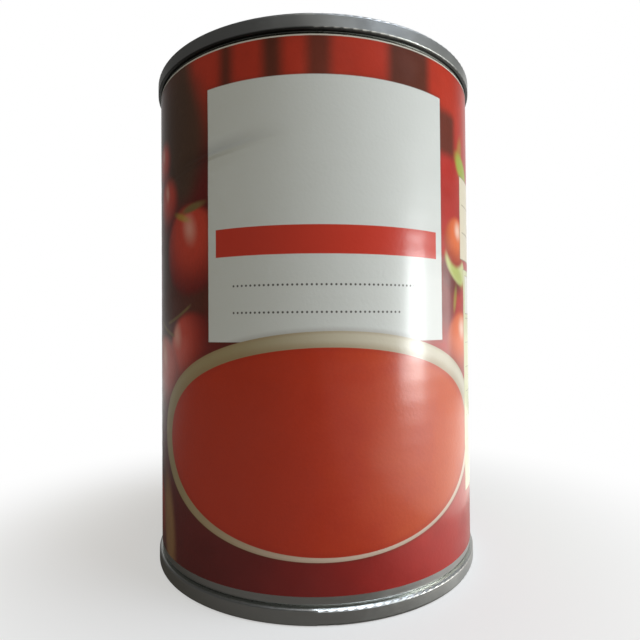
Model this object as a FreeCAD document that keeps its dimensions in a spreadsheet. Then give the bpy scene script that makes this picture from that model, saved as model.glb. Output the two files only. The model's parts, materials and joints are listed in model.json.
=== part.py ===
import FreeCAD, Part
import math
import os

import Sketcher

# Food tin of 400 g, shut and full, with a seamed-on base, an easy-open lid and a paper label.
#
# The tin stands on its base seam at Z = 0, on the Z axis. The middle of the label's picture faces -Y, and
# the label's glued overlap is at +Y. The lid's ring pull lies along Y, with its nose towards +Y.
#
# A sanitary food tin is a beaded steel cylinder whose two ends are rolled onto it in double seams. Each end
# is one pressing: the seam, the chuck wall down inside it, the countersink, and the centre panel with its
# rings. The pull is a second pressing, held by a rivet that is drawn up out of the lid's own metal.

# name, millimetres (or a count, or degrees where the note says so), note
SIZES = [
    ("can_height", 108.0, "over both seams"),
    ("body_radius", 36.5, "outside of the steel cylinder"),
    ("seam_overhang", 0.7, "how far both double seams stand out past the cylinder"),
    ("seam_height", 3.0, "length of the double seam"),
    ("seam_thickness", 1.3, "from chuck wall to outside"),
    ("seam_outer_bend", 0.55, "rounding of the seam's outer top edge"),
    ("seam_inner_bend", 0.45, "rounding of the seam's inner top edge"),
    ("seam_hook_bend", 0.45, "rounding of the seam's lower edge"),
    ("end_plate", 0.2, "tinplate of the ends"),
    ("wall_plate", 0.16, "tinplate of the cylinder"),
    ("neck_straight", 0.15, "neck beside the seam"),
    ("neck_slope", 0.35, "height of the cone from neck to wall"),
    ("neck_bend", 0.3, "rounding at both ends of the neck's cone"),
    ("countersink_depth", 4.2, "from seam top to the bottom of the groove"),
    ("countersink_bend", 0.8, "rounding of the groove's two corners"),
    ("chuck_lean", 0.3, "how far the chuck wall leans in over its depth"),
    ("groove_width", 2.25, "from chuck wall to panel wall at the bottom of the groove"),
    ("panel_lean", 0.25, "how far the panel wall leans out over its depth"),
    ("panel_depth", 2.5, "from seam top to the panel's outer land"),
    ("panel_bend", 0.6, "rounding of the panel's outer edge"),
    ("step_bend", 0.35, "rounding of steps and rings in the panels"),
    ("lid_land", 3.8, "from the panel's edge in to the foot of the lid's step"),
    ("lid_step", 0.5, "how far the lid's centre lies below the land"),
    ("ring_width", 1.8, "foot width of a stiffening ring"),
    ("ring_height", 0.4, "height of a stiffening ring"),
    ("outer_ring_inset", 2.3, "from the lid's step in to the middle of its outer ring"),
    ("inner_ring_inset", 11.9, "from the lid's step in to the middle of its inner ring"),
    ("score_inset", 1.2, "from the panel's edge in to the tear line"),
    ("score_width", 0.3, "width of the tear line"),
    ("score_depth", 0.09, "depth of the tear line"),
    ("base_step", 0.55, "height of each step in the base panel"),
    ("base_outer_share", 0.865, "outermost step of the base, as a share of its panel's radius"),
    ("base_middle_share", 0.69, "middle step"),
    ("base_inner_share", 0.395, "innermost step"),
    ("bead_count", 16, "rolled beads round the cylinder"),
    ("bead_pitch", 4.0, "from bead to bead"),
    ("bead_curve", 2.7, "radius of the bead's hollow"),
    ("bead_depth", 0.45, "how deep a bead is rolled in"),
    ("label_bottom", 4.9, "lower cut edge of the label"),
    ("label_headroom", 3.6, "from the upper cut edge of the label to the top of the tin"),
    ("paper", 0.12, "thickness of the paper"),
    ("overlap_angle", 14.0, "degrees of glued overlap"),
    ("pull_ring_radius", 11.2, "outside of the finger ring"),
    ("pull_hole_radius", 8.4, "finger hole"),
    ("pull_nose_radius", 8.0, "outside of the nose"),
    ("pull_waist_radius", 25.0, "hollow sides between ring and nose"),
    ("pull_reach", 19.0, "from the ring's middle to the rivet"),
    ("pull_thickness", 1.4, "over the curled edges"),
    ("pull_edge_bend", 0.6, "rounding of the curled edges"),
    ("pull_clearance", 0.1, "from the pull to the lid's land"),
    ("pull_web_depth", 0.6, "how far the web lies below the curled edge"),
    ("pull_web_radius", 6.0, "edge of the web round the rivet"),
    ("pull_web_back", 5.2, "from the rivet to the web's straight side"),
    ("tongue_radius", 3.9, "middle of the slot round the rivet's tongue"),
    ("tongue_slot", 0.6, "width of that slot"),
    ("tongue_open", 50.0, "degrees of tongue left uncut each side of the nose line"),
    ("rivet_inset", 10.2, "from the panel's edge in to the middle of the rivet"),
    ("rivet_boss_radius", 2.6, "coined boss under the pull"),
    ("rivet_shank_radius", 1.8, "shank through the pull"),
    ("rivet_head_radius", 2.9, "head spread over the web"),
    ("rivet_head_height", 0.5, "height of the head"),
    ("rivet_head_bend", 0.3, "rounding of the head's rim"),
    ("shank_clearance", 0.05, "round the shank in the pull"),
    ("well_half_width", 9.5, "finger well, across the pull"),
    ("well_half_length", 6.0, "finger well, along the pull"),
    ("well_depth", 0.9, "depth of the finger well"),
    ("well_lead", 1.3, "from the ring's free end out to the well's middle"),
]


class Length:
    """A size that carries its number together with the expression that yields it."""

    def __init__(self, value, text):
        self.value = float(value)
        self.text = text

    def _joined(self, other, sign, value):
        return Length(value, "(%s %s %s)" % (self.text, sign, as_length(other).text))

    def __add__(self, other):
        return self._joined(other, "+", self.value + as_length(other).value)

    def __sub__(self, other):
        return self._joined(other, "-", self.value - as_length(other).value)

    def __mul__(self, other):
        return self._joined(other, "*", self.value * as_length(other).value)

    def __truediv__(self, other):
        return self._joined(other, "/", self.value / as_length(other).value)

    def __neg__(self):
        return Length(-self.value, "(0 - %s)" % self.text)

    def __float__(self):
        return self.value


def as_length(number):
    """A plain number as a Length; a Length as it is."""
    return number if isinstance(number, Length) else Length(number, repr(float(number)))


ZERO = as_length(0)


class Sizes:
    """The driving dimensions, each an alias in the document's spreadsheet, and the places that follow."""

    def __init__(self, doc):
        self.sheet = doc.addObject("Spreadsheet::Sheet", "Sizes")
        for row, (name, value, note) in enumerate(SIZES, start=1):
            self.sheet.set("A%d" % row, name)
            self.sheet.set("B%d" % row, str(value))
            self.sheet.set("C%d" % row, note)
            self.sheet.setAlias("B%d" % row, name)
            setattr(self, name, Length(value, "Sizes.%s" % name))
        doc.recompute()
        self.seam_radius = self.body_radius + self.seam_overhang
        self.chuck_radius = self.seam_radius - self.seam_thickness
        self.chuck_foot = self.chuck_radius - self.chuck_lean
        self.panel_foot = self.chuck_foot - self.groove_width
        self.panel_radius = self.panel_foot - self.panel_lean
        self.lid_step_radius = self.panel_radius - self.lid_land
        self.rivet_place = self.panel_radius - self.rivet_inset
        self.pull_ring_place = self.rivet_place - self.pull_reach
        self.well_place = self.pull_ring_place - self.pull_ring_radius - self.well_lead
        self.label_height = self.can_height - self.label_headroom - self.label_bottom


def origin_part(body, role):
    """One of the body's own origin planes or axes."""
    return next(f for f in body.Origin.OriginFeatures if f.Role == role)


def new_body(doc, name):
    """An empty PartDesign body, whose label is the name of its sub-part."""
    body = doc.addObject("PartDesign::Body", name)
    body.Label = name
    return body


def new_sketch(body, name, plane, height=None):
    """A sketch on one of the body's origin planes, lifted off it by a height."""
    sketch = body.newObject("Sketcher::SketchObject", name)
    sketch.AttachmentSupport = (origin_part(body, plane), [""])
    sketch.MapMode = "FlatFace"
    if height is not None:
        sketch.setExpression("AttachmentOffset.Base.z", height.text)
    return sketch


def bind(sketch, kind, where, size):
    """Adds a dimension to the sketch and ties it to the spreadsheet."""
    number = math.radians(size.value) if kind == "Angle" else size.value
    index = sketch.addConstraint(Sketcher.Constraint(kind, *where, number))
    name = "d%d" % index
    sketch.renameConstraint(index, name)
    sketch.setExpression("Constraints.%s" % name, size.text)


def place_point(sketch, geometry, end, across, up):
    """Holds one point of a curve at its distances from the sketch's origin."""
    for kind, size in (("DistanceX", across), ("DistanceY", up)):
        if size.value:
            bind(sketch, kind, (-1, 1, geometry, end), size)
        else:
            axis = -2 if kind == "DistanceX" else -1
            sketch.addConstraint(Sketcher.Constraint("PointOnObject", geometry, end, axis))


def trimmed_corner(before, corner, after, radius):
    """Where a rounded corner's arc starts, ends and turns: two points, a centre and two angles."""
    to_before = (before - corner).normalize()
    to_after = (after - corner).normalize()
    half = to_before.getAngle(to_after) / 2
    reach = radius / math.tan(half)
    start, end = corner + to_before * reach, corner + to_after * reach
    centre = corner + (to_before + to_after).normalize() * (radius / math.sin(half))
    angles = [math.atan2(p.y - centre.y, p.x - centre.x) for p in (start, end)]
    left_turn = (corner - before).cross(after - corner).z > 0
    return start, end, centre, angles, left_turn


def draw_outline(sketch, corners):
    """A closed outline through corners (across, up, rounding), each a Length, with ZERO rounding if sharp.

    Every corner is held by its two distances. A rounded corner keeps a construction point where the two
    straight stretches would meet, and its arc is tangent to both.
    """
    count = len(corners)
    places = [FreeCAD.Vector(c[0].value, c[1].value, 0) for c in corners]
    starts, ends, arcs = {}, {}, {}
    for i, (_, _, rounding) in enumerate(corners):
        starts[i] = ends[i] = places[i]
        if rounding.value:
            arcs[i] = trimmed_corner(places[i - 1], places[i], places[(i + 1) % count], rounding.value)
            starts[i], ends[i] = arcs[i][0], arcs[i][1]
    lines = [sketch.addGeometry(Part.LineSegment(ends[i], starts[(i + 1) % count])) for i in range(count)]
    for i, (across, up, rounding) in enumerate(corners):
        line_in, line_out = lines[i - 1], lines[i]
        if not rounding.value:
            sketch.addConstraint(Sketcher.Constraint("Coincident", line_in, 2, line_out, 1))
            place_point(sketch, line_out, 1, across, up)
            continue
        _, _, centre, (first, last), left_turn = arcs[i]
        turn = (first, last) if left_turn else (last, first)
        arc = add_arc(sketch, centre, rounding.value, *turn)
        entry, leave = (1, 2) if left_turn else (2, 1)
        corner = sketch.addGeometry(Part.Point(places[i]), True)
        place_point(sketch, corner, 1, across, up)
        for line in (line_in, line_out):
            sketch.addConstraint(Sketcher.Constraint("PointOnObject", corner, 1, line))
        sketch.addConstraint(Sketcher.Constraint("Tangent", line_in, 2, arc, entry))
        sketch.addConstraint(Sketcher.Constraint("Tangent", line_out, 1, arc, leave))
        bind(sketch, "Radius", (arc,), rounding)


def add_arc(sketch, middle, radius, first, last):
    """An arc about a middle, from one angle to another in radians, with no dimension yet."""
    circle = Part.Circle(middle, FreeCAD.Vector(0, 0, 1), radius)
    return sketch.addGeometry(Part.ArcOfCircle(circle, first, last))


def draw_circle(sketch, across, up, radius):
    """A circle held by its middle and its radius."""
    middle = FreeCAD.Vector(across.value, up.value, 0)
    circle = sketch.addGeometry(Part.Circle(middle, FreeCAD.Vector(0, 0, 1), radius.value))
    place_point(sketch, circle, 3, across, up)
    bind(sketch, "Radius", (circle,), radius)


def revolve(body, sketch, name, kind="PartDesign::Revolution"):
    """Turns a sketch of the XZ plane once round the tin's axis, adding it or cutting it out."""
    feature = body.newObject(kind, name)
    feature.Profile = sketch
    feature.ReferenceAxis = (sketch, ["V_Axis"])
    feature.Angle = 360
    sketch.Visibility = False
    body.Document.recompute()
    return feature


def pad(body, sketch, name, height):
    """Raises a sketch by a height."""
    feature = body.newObject("PartDesign::Pad", name)
    feature.Profile = sketch
    feature.setExpression("Length", height.text)
    body.Document.recompute()
    return feature


def pocket(body, sketch, name, depth):
    """Cuts a sketch downwards by a depth, and stops the build if nothing was cut."""
    before = body.Shape.Volume
    feature = body.newObject("PartDesign::Pocket", name)
    feature.Profile = sketch
    feature.setExpression("Length", depth.text)
    body.Document.recompute()
    if body.Shape.Volume > before - 1e-6:
        raise RuntimeError("pocket %s cut nothing" % name)
    return feature


def panel_ring(s, radius, floor):
    """The corners of one raised stiffening ring, from its inner foot to its outer foot."""
    half, top = s.ring_width / 2, floor + s.ring_height
    return [
        (radius - half, floor, s.step_bend),
        (radius - half + s.ring_height, top, s.step_bend / 2),
        (radius + half - s.ring_height, top, s.step_bend / 2),
        (radius + half, floor, s.step_bend),
    ]


def underside(s, level, plate, panel):
    """The face of an end that lies on the contents, from the axis out to the root of the seam.

    level turns a depth below the seam's edge into a height, plate is the sheet's thickness towards the
    contents, and panel holds the centre panel's corners on this side.
    """
    inner_bend = s.countersink_bend + s.end_plate
    groove, land = level(s.countersink_depth) + plate, level(s.panel_depth) + plate
    return panel + [
        (s.panel_radius - s.end_plate, land, s.panel_bend - s.end_plate),
        (s.panel_foot - s.end_plate, groove, inner_bend),
        (s.chuck_foot + s.end_plate, groove, inner_bend),
        (s.chuck_radius + s.end_plate, level(s.seam_height), ZERO),
    ]


def end_outline(s, level, outer_panel, inner_face):
    """The section of a seamed-on end: centre panel, countersink, chuck wall and double seam.

    outer_panel holds the corners of the centre panel's outer face, from the axis out, and inner_face is the
    whole face on the contents.
    """
    rim = level(ZERO)
    land, groove = level(s.panel_depth), level(s.countersink_depth)
    outside = [
        (s.panel_radius, land, s.panel_bend),
        (s.panel_foot, groove, s.countersink_bend),
        (s.chuck_foot, groove, s.countersink_bend),
        (s.chuck_radius, rim, s.seam_inner_bend),
        (s.seam_radius, rim, s.seam_outer_bend),
        (s.seam_radius, level(s.seam_height), s.seam_hook_bend),
    ]
    return outer_panel + outside + list(reversed(inner_face))


class LidLevels:
    """Heights and faces of the lid, worked from its sizes."""

    def __init__(self, s):
        self.sizes = s
        self.land = self.level(s.panel_depth)
        self.centre = self.land - s.lid_step
        self.pull_floor = self.land + s.pull_clearance
        self.pull_top = self.pull_floor + s.pull_thickness

    def level(self, depth):
        """The height of a depth below the lid's seam."""
        return self.sizes.can_height - depth

    def inner_face(self):
        """The lid's face on the contents: its centre lies a step below the land."""
        s = self.sizes
        plate, step = -s.end_plate, s.lid_step_radius + s.lid_step
        panel = [
            (ZERO, self.centre + plate, ZERO),
            (s.lid_step_radius, self.centre + plate, s.step_bend),
            (step, self.land + plate, s.step_bend),
        ]
        return underside(s, self.level, plate, panel)

    def outer_panel(self):
        """The outer face of the centre panel, with its two raised rings."""
        s = self.sizes
        panel = [(ZERO, self.centre, ZERO)]
        panel += panel_ring(s, s.lid_step_radius - s.inner_ring_inset, self.centre)
        panel += panel_ring(s, s.lid_step_radius - s.outer_ring_inset, self.centre)
        step = s.lid_step_radius + s.lid_step
        return panel + [(s.lid_step_radius, self.centre, s.step_bend), (step, self.land, s.step_bend)]


def base_level(depth):
    """The height of a depth above the base seam's edge."""
    return depth


def base_panel(s, thickness):
    """The base's centre panel, stepped up and down from the axis out, at a thickness inwards."""
    low = s.panel_depth + thickness
    middle, high = low + s.base_step, low + s.base_step * 2
    inner_step = s.panel_radius * s.base_inner_share
    middle_step = s.panel_radius * s.base_middle_share
    outer_step = s.panel_radius * s.base_outer_share
    return [
        (ZERO, middle, ZERO),
        (inner_step, middle, s.step_bend),
        (inner_step + s.base_step, high, s.step_bend),
        (middle_step, high, s.step_bend),
        (middle_step + s.base_step, middle, s.step_bend),
        (outer_step, middle, s.step_bend),
        (outer_step + s.base_step, low, s.step_bend),
    ]


def half_ellipsoid(body, s, name, kind, height, grown):
    """The lower half of the finger well's ellipsoid, added or cut, with its radii grown by a thickness."""
    well = body.newObject(kind, name)
    well.setExpression("Radius1", (s.well_depth + grown).text)
    well.setExpression("Radius2", (s.well_half_width + grown).text)
    well.setExpression("Radius3", (s.well_half_length + grown).text)
    well.Angle1, well.Angle2, well.Angle3 = -90, 0, 360
    well.AttachmentSupport = (origin_part(body, "XY_Plane"), [""])
    well.MapMode = "FlatFace"
    well.setExpression("AttachmentOffset.Base.y", s.well_place.text)
    well.setExpression("AttachmentOffset.Base.z", height.text)
    body.Document.recompute()


def make_can_body(doc, s):
    """The beaded cylinder and its contents as one block that fills the tin from end to end."""
    body = new_body(doc, "can_body")
    lid = LidLevels(s)
    neck_radius = s.chuck_radius + s.end_plate + s.wall_plate
    slope_start = s.seam_height + s.neck_straight
    neck = [
        (neck_radius, s.seam_height, ZERO),
        (neck_radius, slope_start, s.neck_bend / 2),
        (s.body_radius, slope_start + s.neck_slope, s.neck_bend),
    ]
    upper_neck = [(across, s.can_height - up, bend) for across, up, bend in reversed(neck)]
    foot = underside(s, base_level, s.end_plate, base_panel(s, s.end_plate))
    wall = new_sketch(body, "wall_profile", "XZ_Plane")
    draw_outline(wall, foot + neck + upper_neck + list(reversed(lid.inner_face())))
    revolve(body, wall, "wall")
    half_ellipsoid(body, s, "well_hollow", "PartDesign::SubtractiveEllipsoid", lid.centre, s.end_plate)

    bead = new_sketch(body, "bead_profile", "XZ_Plane")
    first_bead = s.can_height / 2 - s.bead_pitch * (s.bead_count - 1) / 2
    draw_circle(bead, s.body_radius - s.bead_depth + s.bead_curve, first_bead, s.bead_curve)
    before = body.Shape.Volume
    rolled = revolve(body, bead, "bead", "PartDesign::Groove")
    beads = body.newObject("PartDesign::LinearPattern", "beads")
    beads.Originals = [rolled]
    beads.Direction = (origin_part(body, "Z_Axis"), [""])
    beads.setExpression("Length", (s.bead_pitch * (s.bead_count - 1)).text)
    beads.setExpression("Occurrences", s.bead_count.text)
    body.Tip = beads
    doc.recompute()
    if body.Shape.Volume > before - 1:
        raise RuntimeError("the beads cut nothing")
    return body


def make_lid(doc, s):
    """The easy-open lid: rings, tear line, finger well, and the rivet drawn from the panel."""
    body = new_body(doc, "lid_end")
    lid = LidLevels(s)
    section = new_sketch(body, "lid_profile", "XZ_Plane")
    draw_outline(section, end_outline(s, lid.level, lid.outer_panel(), lid.inner_face()))
    revolve(body, section, "lid_pressing")

    score = new_sketch(body, "score_profile", "XZ_Plane")
    middle, half = s.panel_radius - s.score_inset, s.score_width / 2
    tear_line = [
        (middle, lid.land - s.score_depth, ZERO),
        (middle + half, lid.land + s.score_depth, ZERO),
        (middle - half, lid.land + s.score_depth, ZERO),
    ]
    draw_outline(score, tear_line)
    revolve(body, score, "score", "PartDesign::Groove")

    half_ellipsoid(body, s, "well_skin", "PartDesign::AdditiveEllipsoid", lid.centre, s.end_plate)
    half_ellipsoid(body, s, "finger_well", "PartDesign::SubtractiveEllipsoid", lid.centre, ZERO)
    make_rivet(body, s, lid)
    return body


def make_rivet(body, s, lid):
    """Boss, shank and head of the rivet, one on the other, on the lid's centre panel."""
    web_top = lid.pull_top - s.pull_web_depth
    head_top = web_top + s.rivet_head_height
    root = s.end_plate / 2
    stages = [
        ("boss", s.rivet_boss_radius, lid.centre - root, lid.pull_floor),
        ("shank", s.rivet_shank_radius, lid.pull_floor - root, web_top + root),
        ("head", s.rivet_head_radius, web_top, head_top),
    ]
    for name, radius, low, high in stages:
        sketch = new_sketch(body, "rivet_%s_outline" % name, "XY_Plane", low)
        draw_circle(sketch, ZERO, s.rivet_place, radius)
        pad(body, sketch, "rivet_%s" % name, high - low)
    rim = [
        "Edge%d" % i
        for i, edge in enumerate(body.Shape.Edges, start=1)
        if edge.Closed
        and edge.BoundBox.ZLength < 1e-6
        and abs(edge.BoundBox.ZMax - head_top.value) < 1e-6
        and abs(edge.BoundBox.XMax - s.rivet_head_radius.value) < 1e-3
    ]
    spread = body.Tip
    rounding = body.newObject("PartDesign::Fillet", "rivet_rounding")
    rounding.Base = (spread, rim)
    rounding.setExpression("Radius", s.rivet_head_bend.text)
    body.Document.recompute()


def make_base(doc, s):
    """The plain base: the same seam and countersink, with steps in the panel that let it flex."""
    body = new_body(doc, "base_end")
    inner_face = underside(s, base_level, s.end_plate, base_panel(s, s.end_plate))
    section = new_sketch(body, "base_profile", "XZ_Plane")
    draw_outline(section, end_outline(s, base_level, base_panel(s, ZERO), inner_face))
    revolve(body, section, "base_pressing")
    return body


def make_label(doc, s):
    """The paper sleeve, one sheet wrapped round the cylinder and glued where its ends overlap."""
    body = new_body(doc, "label")
    sheet_radius, flap_radius = s.body_radius + s.paper, s.body_radius + s.paper * 2
    free_turn = as_length(90)
    lift_turn = free_turn - s.overlap_angle
    sketch = new_sketch(body, "label_outline", "XY_Plane", s.label_bottom)

    def on_circle(radius, turn):
        angle = math.radians(turn.value)
        return FreeCAD.Vector(radius.value * math.cos(angle), radius.value * math.sin(angle), 0)

    def step(turn):
        ends = on_circle(sheet_radius, turn), on_circle(flap_radius, turn)
        return sketch.addGeometry(Part.LineSegment(*ends))

    axis_point = FreeCAD.Vector()
    free_angle, lift_angle = math.radians(free_turn.value), math.radians(lift_turn.value)
    sheet = add_arc(sketch, axis_point, sheet_radius.value, free_angle, lift_angle + 2 * math.pi)
    flap = add_arc(sketch, axis_point, flap_radius.value, lift_angle, free_angle)
    lift, free_edge = step(lift_turn), step(free_turn)
    for one, one_end, two, two_end in (
        (sheet, 2, lift, 1),
        (lift, 2, flap, 1),
        (flap, 2, free_edge, 2),
        (free_edge, 1, sheet, 1),
    ):
        sketch.addConstraint(Sketcher.Constraint("Coincident", one, one_end, two, two_end))
    for arc, radius in ((sheet, sheet_radius), (flap, flap_radius)):
        sketch.addConstraint(Sketcher.Constraint("Coincident", arc, 3, -1, 1))
        bind(sketch, "Radius", (arc,), radius)
    for end in (1, 2):
        sketch.addConstraint(Sketcher.Constraint("PointOnObject", free_edge, end, -2))
    sketch.addConstraint(Sketcher.Constraint("PointOnObject", -1, 1, lift))
    bind(sketch, "Angle", (-1, 1, lift, 1), lift_turn)
    draw_circle(sketch, ZERO, ZERO, s.body_radius)
    pad(body, sketch, "sleeve", s.label_height)
    return body


def make_ring_pull(doc, s):
    """The pull: a curled ring for the finger, and a nose with a web that the rivet's tongue is cut from."""
    body = new_body(doc, "ring_pull")
    top = LidLevels(s).pull_top

    outline = new_sketch(body, "pull_outline", "XY_Plane", top - s.pull_thickness)
    draw_pull(outline, s)
    pad(body, outline, "pull_blank", s.pull_thickness)

    hole = new_sketch(body, "finger_hole_outline", "XY_Plane", top)
    draw_circle(hole, ZERO, s.pull_ring_place, s.pull_hole_radius)
    pocket(body, hole, "finger_hole", s.pull_thickness)

    curled = [
        "Edge%d" % i for i, edge in enumerate(body.Shape.Edges, start=1) if edge.BoundBox.ZLength < 1e-6
    ]
    blank = body.Tip
    curl = body.newObject("PartDesign::Fillet", "curled_edges")
    curl.Base = (blank, curled)
    curl.setExpression("Radius", s.pull_edge_bend.text)
    doc.recompute()

    web = new_sketch(body, "web_outline", "XY_Plane", top)
    draw_web(web, s)
    pocket(body, web, "web", s.pull_web_depth)

    slot = new_sketch(body, "tongue_slot_outline", "XY_Plane", top)
    draw_tongue_slot(slot, s)
    pocket(body, slot, "tongue_slot", s.pull_thickness)

    shank = new_sketch(body, "shank_hole_outline", "XY_Plane", top)
    draw_circle(shank, ZERO, s.rivet_place, s.rivet_shank_radius + s.shank_clearance)
    pocket(body, shank, "shank_hole", s.pull_thickness)
    return body


def draw_pull(sketch, s):
    """Ring and nose circles joined by a hollow waist on each side, all tangent."""
    ring, nose, waist = s.pull_ring_radius.value, s.pull_nose_radius.value, s.pull_waist_radius.value
    low, high = s.pull_ring_place.value, s.rivet_place.value
    gap = high - low
    along = ((ring + waist) ** 2 - (nose + waist) ** 2 + gap**2) / (2 * gap)
    aside = math.sqrt((ring + waist) ** 2 - along**2)
    ring_middle, nose_middle = FreeCAD.Vector(0, low, 0), FreeCAD.Vector(0, high, 0)
    right_middle, left_middle = (FreeCAD.Vector(side * aside, low + along, 0) for side in (1, -1))
    ring_turn = math.atan2(along, aside)
    nose_turn = math.atan2(along - gap, aside)
    ring_arc = add_arc(sketch, ring_middle, ring, math.pi - ring_turn, 2 * math.pi + ring_turn)
    nose_arc = add_arc(sketch, nose_middle, nose, nose_turn, math.pi - nose_turn)
    right = add_arc(sketch, right_middle, waist, math.pi + nose_turn, math.pi + ring_turn)
    left = add_arc(sketch, left_middle, waist, -ring_turn, -nose_turn)
    for first, first_end, second, second_end in (
        (ring_arc, 2, right, 2),
        (right, 1, nose_arc, 1),
        (nose_arc, 2, left, 2),
        (left, 1, ring_arc, 1),
    ):
        sketch.addConstraint(Sketcher.Constraint("Tangent", first, first_end, second, second_end))
    place_point(sketch, ring_arc, 3, ZERO, s.pull_ring_place)
    place_point(sketch, nose_arc, 3, ZERO, s.rivet_place)
    bind(sketch, "Radius", (ring_arc,), s.pull_ring_radius)
    bind(sketch, "Radius", (nose_arc,), s.pull_nose_radius)
    bind(sketch, "Radius", (right,), s.pull_waist_radius)
    bind(sketch, "Radius", (left,), s.pull_waist_radius)


def draw_web(sketch, s):
    """The web's edge: most of a circle round the rivet, closed by a straight side towards the ring."""
    radius, back, middle = s.pull_web_radius.value, s.pull_web_back.value, s.rivet_place.value
    half = math.sqrt(radius**2 - back**2)
    start = math.atan2(-back, half)
    arc = add_arc(sketch, FreeCAD.Vector(0, middle, 0), radius, start, math.pi - start)
    left, right = FreeCAD.Vector(-half, middle - back, 0), FreeCAD.Vector(half, middle - back, 0)
    side = sketch.addGeometry(Part.LineSegment(left, right))
    sketch.addConstraint(Sketcher.Constraint("Coincident", arc, 2, side, 1))
    sketch.addConstraint(Sketcher.Constraint("Coincident", side, 2, arc, 1))
    sketch.addConstraint(Sketcher.Constraint("Horizontal", side))
    place_point(sketch, arc, 3, ZERO, s.rivet_place)
    bind(sketch, "Radius", (arc,), s.pull_web_radius)
    bind(sketch, "DistanceY", (-1, 1, side, 1), s.rivet_place - s.pull_web_back)


def draw_tongue_slot(sketch, s):
    """A round-ended slot that runs about the rivet from one side of the nose line to the other."""
    middle = FreeCAD.Vector(0, s.rivet_place.value, 0)
    half_width = s.tongue_slot.value / 2
    first = math.radians(90 + s.tongue_open.value)
    last = math.radians(450 - s.tongue_open.value)

    def at(radius, turn):
        return middle + FreeCAD.Vector(radius * math.cos(turn), radius * math.sin(turn), 0)

    tongue = s.tongue_radius.value
    outer = add_arc(sketch, middle, tongue + half_width, first, last)
    inner = add_arc(sketch, middle, tongue - half_width, first, last)
    start_cap = add_arc(sketch, at(tongue, first), half_width, first - math.pi, first)
    end_cap = add_arc(sketch, at(tongue, last), half_width, last, last + math.pi)
    for one, one_end, two, two_end in (
        (inner, 1, start_cap, 1),
        (start_cap, 2, outer, 1),
        (outer, 2, end_cap, 1),
        (end_cap, 2, inner, 2),
    ):
        sketch.addConstraint(Sketcher.Constraint("Tangent", one, one_end, two, two_end))
    for arc in (outer, inner):
        place_point(sketch, arc, 3, ZERO, s.rivet_place)
    bind(sketch, "Radius", (outer,), s.tongue_radius + s.tongue_slot / 2)
    bind(sketch, "Radius", (inner,), s.tongue_radius - s.tongue_slot / 2)
    for cap, sense in ((start_cap, -1), (end_cap, 1)):
        spoke_end = at(tongue, first if sense < 0 else last)
        spoke = sketch.addGeometry(Part.LineSegment(middle, spoke_end), True)
        sketch.addConstraint(Sketcher.Constraint("Coincident", spoke, 1, outer, 3))
        sketch.addConstraint(Sketcher.Constraint("Coincident", spoke, 2, cap, 3))
        turned = as_length(90) - s.tongue_open * sense
        bind(sketch, "Angle", (-1, 1, spoke, 1), turned)


def check_document(doc):
    """Stops the build if any object failed, or if a sketch is left loose."""
    for item in doc.Objects:
        if "Invalid" in item.State or "Error" in item.State:
            raise RuntimeError("%s failed: %s" % (item.Name, item.State))
        if item.TypeId == "Sketcher::SketchObject" and not item.FullyConstrained:
            raise RuntimeError("sketch %s isn't fully constrained" % item.Name)


def write_parts(bodies):
    """Writes each sub-part to parts/NAME.step once every shape is sound."""
    for body in bodies:
        shape = body.Shape
        if shape.isNull() or not shape.isValid() or len(shape.Solids) != 1:
            raise RuntimeError("%s isn't one valid solid" % body.Label)
    os.makedirs("parts", exist_ok=True)
    for body in bodies:
        box = body.Shape.BoundBox
        print("%-10s %9.1f mm3  z %7.2f to %7.2f" % (body.Label, body.Shape.Volume, box.ZMin, box.ZMax))
        body.Shape.exportStep("parts/%s.step" % body.Label)


def main():
    """Builds the document and writes its parts."""
    doc = FreeCAD.newDocument("food_tin")
    sizes = Sizes(doc)
    bodies = [make(doc, sizes) for make in (make_can_body, make_lid, make_base, make_label, make_ring_pull)]
    doc.recompute()
    check_document(doc)
    write_parts(bodies)


main()
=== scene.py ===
"""Looks of a shut soup tin: its glossy printed label, its tinplate ends and wall, its pull, and the studio.

The tin stands on its base seam at the origin. The middle of the label's picture faces -Y, and the label's
glued overlap is at +Y. Lengths are metres, except in the print, which is laid out in millimetres.
"""

import json
import logging
import math
from dataclasses import dataclass, field
from enum import Enum
from typing import Callable, Sequence, Union

import bmesh
import bpy
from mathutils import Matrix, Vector

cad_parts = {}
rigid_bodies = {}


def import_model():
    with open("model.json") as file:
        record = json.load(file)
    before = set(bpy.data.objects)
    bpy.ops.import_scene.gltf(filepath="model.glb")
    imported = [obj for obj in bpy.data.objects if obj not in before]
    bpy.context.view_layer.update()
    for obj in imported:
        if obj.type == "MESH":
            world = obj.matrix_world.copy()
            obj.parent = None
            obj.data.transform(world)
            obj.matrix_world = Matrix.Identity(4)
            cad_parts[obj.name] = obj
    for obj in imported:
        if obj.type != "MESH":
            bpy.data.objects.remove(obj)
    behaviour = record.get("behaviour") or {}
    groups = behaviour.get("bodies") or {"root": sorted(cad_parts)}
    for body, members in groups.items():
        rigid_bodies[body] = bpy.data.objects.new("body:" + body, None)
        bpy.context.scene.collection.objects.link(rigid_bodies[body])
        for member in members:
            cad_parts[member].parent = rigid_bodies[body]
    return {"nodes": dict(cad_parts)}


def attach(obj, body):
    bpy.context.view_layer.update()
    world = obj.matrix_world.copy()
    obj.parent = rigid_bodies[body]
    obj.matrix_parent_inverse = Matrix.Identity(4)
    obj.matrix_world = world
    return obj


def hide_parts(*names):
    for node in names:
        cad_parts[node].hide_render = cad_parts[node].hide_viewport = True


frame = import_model()

LOG = logging.getLogger("soup_tin")
MM = 0.001
Colour = tuple[float, float, float]
Number = Union["Field", float, int]
MeshPart = Union[bmesh.types.BMVert, bmesh.types.BMEdge]
SAME = 1e-6  # lengths that differ by less count as one


# --- Node toolkit ---


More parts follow.
